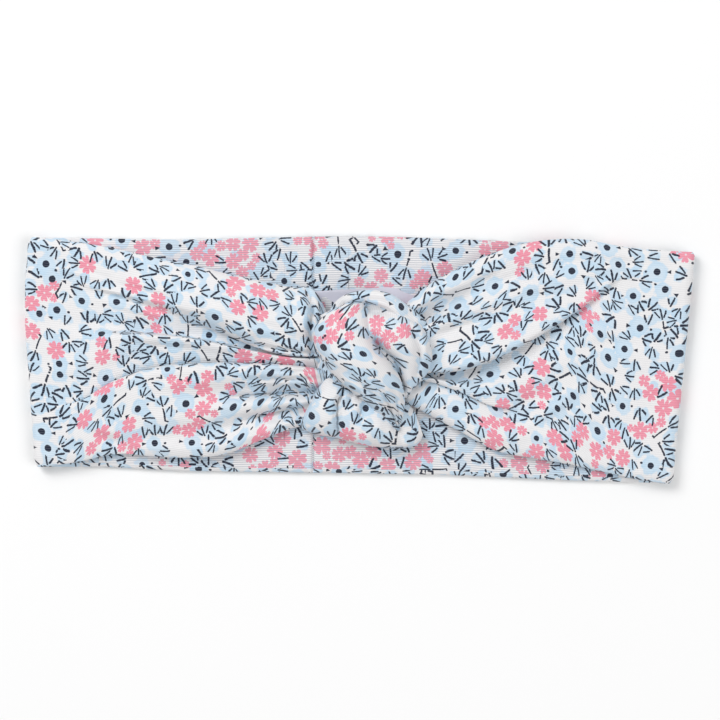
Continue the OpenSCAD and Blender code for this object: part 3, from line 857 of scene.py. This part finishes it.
# Where the blossoms and the large dots lie on the cloth seen from above: x, y
LEFT_BLOSSOMS = [
    (-64, 21), (-57, 17), (-59, 13), (-35, 22), (-29, 20), (-34, 15), (-28, 13), (-73, 1), (-72, -7),
    (-51, -8), (-44, -8), (-39, -10), (-44, -14), (-78, -17), (-73, -21), (-65, -18), (-64, -23),
    (-48, -20), (-93, 16), (-89, 19), (-93, 8), (-33, 1), (-27, 1), (-21, 0), (-77, 27), (-86, 3),
    (-14, -3), (-13.4, -8),
]
RIGHT_BLOSSOMS = [
    (51, 13), (41, 8), (45, 5), (66, 17), (69, 17), (64, 13), (51, -2), (47, -9), (52, -9), (40, -13),
    (42, -18), (38, -22), (55, -22), (63, -20), (72, -22), (79, -20), (50, -26), (58, -26), (67, -26),
    (74, -28), (87, -7), (82, -9), (86, -14), (92, 30), (46, 29), (49, 33), (90, -11),
]
LEFT_BACK_BLOSSOMS = [
    (-62, 32), (-57, 33), (-36, 33), (-31, 33), (-42, 29), (-36, 28), (-32, 30), (-28, 28), (-31, -27),
    (-24, -26), (-27, -31), (-22, -22), (-75, 34),
]
RIGHT_BACK_BLOSSOMS = [
    (24, 26), (18, 23), (15, -29), (18, -26), (45, -29), (52, -30), (8, -30), (4, -26), (0, -28),
]
SEAM_BLOSSOMS = [
    (-9, 24), (-5, 22), (-6, 27), (-17, -20), (-18, -28), (-6, -27), (-10, -24), (-8, -31),
]
LEFT_DOTS = [
    (-89, 27), (-87, 23), (-76, 28), (-79, 17), (-69, 17), (-86, 14), (-91, 13), (-73, 8), (-69, 9),
    (-85, -1), (-52, 4), (-85, -4), (-72, -11), (-63, -14), (-49, -12), (-36, -13), (-28, -11), (-25, -4),
    (-43, 7), (-28, 8), (-90, -20), (-88, -25), (-34, -21), (-41, 12),
]
RIGHT_DOTS = [
    (43, 31), (59, 30), (70, 32), (60, 25), (73, 27), (84, 25), (38, 21), (48, 19), (86, 20), (27, 16),
    (77, 18), (79, 9), (68, 7), (75, 3), (70, 1), (90, 2), (37, -4), (31, -2), (60, -10), (56, -14),
    (74, -13), (27, -14), (67, -20), (82, -30),
]
LEFT_BACK_DOTS = [
    (-54, 32), (-49, 28), (-62, -30), (-46, -31),
]
RIGHT_BACK_DOTS = [
    (34, 32), (11, 30), (30, -23), (40, -28), (71, -33),
]


def add_bands():
    """Both halves of the band, and the piece round the back seam, which carries on both prints."""
    seam = seam_section()
    left = add_half("left", -1, (LEFT_X, LEFT_ROWS, LEFT_CREASES), SEAM_LEFT,
                    (LEFT_BLOSSOMS, LEFT_BACK_BLOSSOMS, LEFT_DOTS, LEFT_BACK_DOTS), LEFT_SEED, seam)
    right = add_half("right", 1, (RIGHT_X, RIGHT_ROWS, RIGHT_CREASES), SEAM_RIGHT,
                     (RIGHT_BLOSSOMS, RIGHT_BACK_BLOSSOMS, RIGHT_DOTS, RIGHT_BACK_DOTS), RIGHT_SEED, seam)
    add_seam(seam, left, right)


def add_half(name, side, panel, join, places, seed, seam):
    """One half of the band, in three pieces with their stitches. Returns the design of its print."""
    tube, along, under, low_edge, (fold_start, fold_end) = band_half(side, *panel, join)
    seam_tube, seam_x, seam_under = seam
    blossoms, back_blossoms, dots, back_dots = places
    back_end = abs(FOLD_X - abs(join)) + 3
    seam_blossoms = [(x, y) for x, y in SEAM_BLOSSOMS if (x - SEAM_X) * side > 0]
    clusters = (pinned(tube, along, blossoms, under)
                + pinned(tube, along, back_blossoms, under, *BACK_HEIGHTS)
                + pinned(seam_tube, side * (seam_x - join), seam_blossoms, seam_under, *BACK_HEIGHTS))
    spots = pinned(tube, along, dots, under) + pinned(tube, along, back_dots, under, *BACK_HEIGHTS)
    design = scatter((-13, -2), (float(along.max()) + 2, ROUND + 2), seed, clusters, spots,
                     lambda s, t: t > 73 or (s < back_end and 9 < t < 58))
    data = printed(tube, along, design, seed, under)
    # painted shade on the back's inner ply
    data["back_shade"] = back_shade(tube, along, along[fold_start], under)
    ring = tube.shape[1]
    pieces = []
    cuts = 0, fold_start, fold_end, len(tube) - 1
    for part, i, j in zip(("back", "fold", "front"), cuts, cuts[1:]):
        part_data = {key: value[i * ring:j * ring] for key, value in data.items()}
        pieces.append(cloth_mesh(f"{name}_{part}_cloth", tube[i:j + 1], part_data))
    back, fold, front = pieces
    inside_edge = (tube[:, low_edge - 2] + tube[:, low_edge + 2]) / 2
    back_thread = stitches(name + "_back_edge_stitches", inside_edge[4:fold_start - 4])
    front_thread = stitches(name + "_front_edge_stitches", inside_edge[fold_end + 7:fold_end + 75])
    bend(name, side, (back, back_thread), fold, (front, front_thread))
    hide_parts(f"back_{name}_outer_ply", f"back_{name}_inner_ply")
    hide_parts(f"{name}_fold_turn")
    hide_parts(f"front_{name}_outer_ply", f"front_{name}_inner_ply")
    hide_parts(f"back_{name}_edge_thread")
    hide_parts(f"front_{name}_edge_thread")
    return design


def add_seam(seam, left_design, right_design):
    """The cloth round the back seam: the left half's print up to the seam, the right half's past it."""
    tube, xs, under = seam
    left = printed(tube, SEAM_LEFT - xs, left_design, LEFT_SEED, under)
    right = printed(tube, xs - SEAM_RIGHT, right_design, RIGHT_SEED, under)
    on_left = (np.repeat((xs[:-1] + xs[1:]) / 2, tube.shape[1]) < SEAM_X)[:, None, None]
    data = {key: np.where(on_left, left[key], right[key]) for key in left}
    # painted shade on the seam piece's inner ply
    data["back_shade"] = back_shade(tube, xs, SEAM_RIGHT + 2 * BEND, under)
    cloth = cloth_mesh("back_seam_cloth", tube, data)
    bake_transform(cloth)
    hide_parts("back_left_seam_allowance", "back_right_seam_allowance")


def bend(name, side, backs, fold, fronts):
    """Bakes the world transforms into the back pieces, the fold and the front pieces."""
    for back in backs:
        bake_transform(back)
    for front in fronts:
        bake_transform(front)
    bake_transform(fold)


def stitches(name, line):
    """White stitches hidden between the plies, one after the other along a line of points."""
    radius = 0.15
    rim = [Vector((radius * math.cos(a), radius * math.sin(a), 0)) for a in np.arange(6) * math.pi / 3]
    verts, faces = [], []
    for i in range(0, len(line) - 3, 4):
        a, b = Vector(line[i]), Vector(line[i + 3])
        turned = (b - a).to_track_quat("Z", "Y")
        n = len(verts)
        verts += [(end + turned @ place) * MM for end in (a, b) for place in rim]
        faces += [(n + k, n + (k + 1) % 6, n + 6 + (k + 1) % 6, n + 6 + k) for k in range(6)]
        faces += [tuple(range(n + 5, n - 1, -1)), tuple(range(n + 6, n + 12))]
    mesh = bpy.data.meshes.new(name)
    mesh.from_pydata(verts, [], faces)
    obj = show(name, mesh, thread)
    return obj


TAUT = 0.55  # the knot's cloth is stretched where it climbs

# Folds over each part of the knot: x0, y0, x1, y1, half width, height
KNOT_FOLDS = {
    "knot_front_loop": [
        (2.7, 10, 3, 5, 0.8, -1), (-9, 10, -4, 14, 1.2, 0.4), (-11, 2, -3, -6, 0.9, -0.5),
    ],
    "knot_right_lobe": [
        (3.4, 6.4, 6.6, 2.2, 1, -5), (5.4, 3.4, 10, -1.2, 1, -6), (9, -0.4, 11.6, -5, 1, -5),
        (11, -4, 12.6, -9, 0.9, -4), (-1, 14.6, 9, 13.4, 1, -3), (13.6, 10, 16.4, 5, 0.75, -2.2),
        (16, 6, 16.8, -1, 0.7, -1.9), (16.8, 0.5, 15.4, -6, 0.6, -1.2), (8.4, 2.6, 13, -4, 0.7, -1.3),
        (11.5, 9, 13.4, 1, 1.4, 0.7), (18.4, 6, 18.6, -1, 0.8, 0.8),
    ],
    "knot_top_strip": [
        (2, 17.4, 11, 15.4, 0.5, -0.8), (12, 13.6, 17, 10.6, 0.9, -1.2), (16, 9.4, 22, 7.6, 0.9, -1.6),
        (-6, 16.6, 3, 18.4, 0.9, 0.7),
    ],
    "knot_lower_flap": [
        (-4.2, -7.6, -6.6, -13, 0.6, -3), (-6.5, -11, -6.2, -22, 0.55, -3.4), (-10, -9, -10.6, -21, 2, 0.7),
        (-2, -9, -4, -14, 0.6, -2), (1.6, -11, -1, -18, 0.6, -1.8), (3, -14, 3.6, -23, 2, 0.6),
        (8, -15, 13, -24, 1, -2.4), (5, -15, 6, -23, 1.4, 0.8), (12, -13, 17, -19, 1.2, -1.2),
        (-12, -8, -14.5, -17, 1.4, 0.7),
    ],
    "knot_core": [],
}


def add_knot():
    """The knot's pieces, all of which move with the left panel."""
    pieces = [
        ("knot_front_loop_cloth", FRONT_LOOP, "knot_front_loop", (0.022, 0.04), 51, -0.05,
         [(0.5, 0.25, 1, 0.42, 0.06, -1.5), (0.55, 0.55, 1, 0.56, 0.05, -1.7),
          (0.66, 0.8, 1, 0.74, 0.05, -1.3)],
         [(-7.6, 12), (-2, 11), (-8, 7), (-11, 6.4)], [(1, 2), (-11, 3), (-12, 9), (11, -7)]),
        ("knot_right_lobe_cloth", RIGHT_LOBE, "knot_right_lobe", (0.019, 0.028), 63, 0.05, [],
         [(5, 11), (13, 8.4), (8, 6.6), (4.6, 7), (9, 2)], [(18.6, -2)]),
        ("knot_top_strip_cloth", TOP_STRIP, "knot_top_strip", (0.01, 0.031), 71, 0.0, [],
         [], [(12, 15), (22, 8)]),
        ("knot_lower_flap_cloth", LOWER_FLAP, "knot_lower_flap", (0.019, 0.033), 92, 0.0, [],
         [(-4, -22.4), (1.4, -23.2)], [(-14, -16), (1, -13), (-5, -18.6)]),
        ("knot_inside_cloth", KNOT_INSIDE, "knot_core", (0.027, 0.026), 93, 0.0, [],
         [], []),
    ]
    for name, stations, node, flat, seed, lean, creases, blossoms, dots in pieces:
        tube, along = span(stations, creases, lean)
        points = tube.reshape(-1, 3)
        points[:, 2] += crease_depth(points, KNOT_FOLDS[node]) * np.clip((points[:, 2] - 5) / 3, 0, 1)
        high = float(fabric_across(tube, None, TAUT).max())
        clusters, spots = (pinned(tube, along, places, steepness=TAUT) for places in (blossoms, dots))
        design = scatter((-3, -3), (float(along.max()) + 3, high + 3), seed, clusters, spots)
        piece = cloth_mesh(name, tube, printed(tube, along, design, seed, steepness=TAUT))
        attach(piece, "front_left")
        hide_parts(node)


def add_label():
    """The care label: a ribbon with softly turned edges, sewn in beside the back seam."""
    low, high = (Vector(c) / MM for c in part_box("care_label"))
    tilt = math.radians(3.4)
    length, width, narrow = 34, 12, 2.9
    x, across = np.meshgrid(np.linspace(0, length, 61), np.linspace(-1, 0, 21), indexing="ij")
    deep = narrow + (width - narrow) * ramp(4, 13, x)
    y = deep * across
    edge = np.minimum.reduce([x + 3, length - x, -y, y + deep])
    thick = 0.13 * np.minimum(1, (np.maximum(edge, 0) / 0.4) ** 0.5)
    lift = 0.15 + 0.3 * np.sin(x * 0.16) * np.minimum(1, x / 8) + 0.12 * np.sin(y * 0.9 + x * 0.2)
    place = [low.x + x * math.cos(tilt) - y * math.sin(tilt) - 0.4,
             high.y - 2 + x * math.sin(tilt) + y * math.cos(tilt)]
    upper, lower = (np.stack([*place, BAND_T + lift + side * thick], axis=2) for side in (1, -1))
    mesh = tube_mesh("care_label_ribbon", np.concatenate([upper, lower[:, ::-1]], axis=1))
    label = show("care_label_ribbon", mesh, satin)
    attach(label, "label")
    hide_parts("care_label")


def finish_threads():
    """The CAD solids of the seam's and the label's stitches stay, in the thread's material."""
    for name, node in frame["nodes"].items():
        if name.endswith("_thread") and not name.endswith("_edge_thread"):
            node.data.materials.clear()
            node.data.materials.append(thread)


def add_stage():
    """A pale floor, a white world and two large soft lights."""
    mesh = bpy.data.meshes.new("floor")
    reach = 3.0
    corners = (-reach, -reach, 0), (reach, -reach, 0), (reach, reach, 0), (-reach, reach, 0)
    mesh.from_pydata(corners, [], [(0, 1, 2, 3)])
    floor = show("floor", mesh, make_floor())
    floor.location.z = -0.0003
    world = bpy.data.worlds.new("studio")
    scene.world = world
    world.use_nodes = True
    background = world.node_tree.nodes["Background"]
    background.inputs["Color"].default_value = (1, 1, 1, 1)
    background.inputs["Strength"].default_value = 0.48
    lights = ("key", (-0.7, 0.65, 1.0), 0.7, 10.9), ("fill", (0.8, -0.3, 0.95), 0.8, 4.9)
    for name, place, size, power in lights:
        data = bpy.data.lights.new(name, "AREA")
        data.size = size
        data.energy = power
        light = bpy.data.objects.new(name, data)
        light.location = place
        light.rotation_mode = "QUATERNION"
        light.rotation_quaternion = (-Vector(place)).to_track_quat("-Z", "Y")
        scene.collection.objects.link(light)
    scene.view_settings.view_transform = "Standard"


def add_camera():
    """Straight above, with the band's length across the picture."""
    data = bpy.data.cameras.new("camera")
    data.lens = 135
    view_width = 0.2048
    camera = bpy.data.objects.new("camera", data)
    camera.location = (0, 0, view_width * data.lens / data.sensor_width)
    scene.collection.objects.link(camera)
    scene.camera = camera


add_bands()
add_knot()
add_label()
finish_threads()
add_stage()
add_camera()
